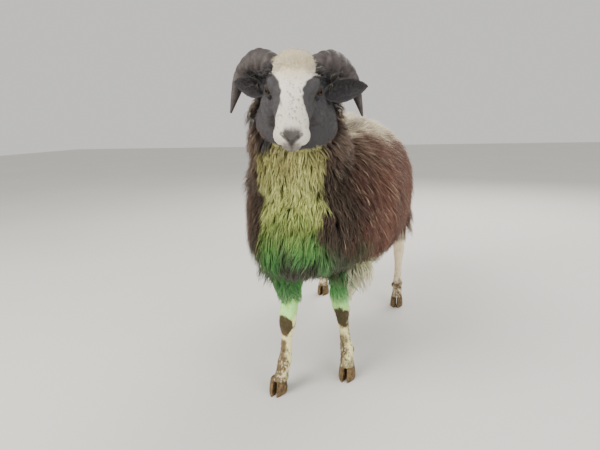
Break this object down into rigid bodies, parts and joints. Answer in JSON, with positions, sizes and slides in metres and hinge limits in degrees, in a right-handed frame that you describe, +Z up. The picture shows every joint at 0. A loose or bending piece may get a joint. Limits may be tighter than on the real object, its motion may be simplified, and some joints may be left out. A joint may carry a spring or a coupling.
{
  "type": "standing jacob sheep",
  "caption": "Life-size horned Jacob sheep in long wool, standing square and still with its head turned a little to its left.",
  "frame": {"origin": "bottom centre of the whole sheep's box, on the ground between the four feet", "axes": "+Z up, +Y towards the tail, so the sheep faces -Y and its left side is at +X"},
  "size_m": [0.4389, 1.0709, 0.8353],
  "materials": {
    "face_fur": "short black fur with a white blaze",
    "fleece": "long dark brown wool, cream on the back and yellow-green on the chest",
    "leg_fur": "short white fur with brown patches",
    "horn": "dark grey ringed horn",
    "claw": "brown matt horn",
    "eye": "glossy amber eye"
  },
  "bodies": {
    "root": {"head": "face_fur", "eye_left": "eye", "eye_right": "eye", "horn_left": "horn", "horn_right": "horn", "ear_left": "face_fur", "ear_right": "face_fur", "neck": "fleece", "torso": "fleece", "tail": "fleece", "foreleg_upper_left": "fleece", "foreleg_upper_right": "fleece", "hindleg_upper_left": "fleece", "hindleg_upper_right": "fleece", "foreleg_lower_left": "leg_fur", "foreleg_lower_right": "leg_fur", "hindleg_lower_left": "leg_fur", "hindleg_lower_right": "leg_fur", "foreclaw_left_inner": "claw", "foreclaw_left_outer": "claw", "foreclaw_right_inner": "claw", "foreclaw_right_outer": "claw", "hindclaw_left_inner": "claw", "hindclaw_left_outer": "claw", "hindclaw_right_inner": "claw", "hindclaw_right_outer": "claw"}
  },
  "joints": []
}
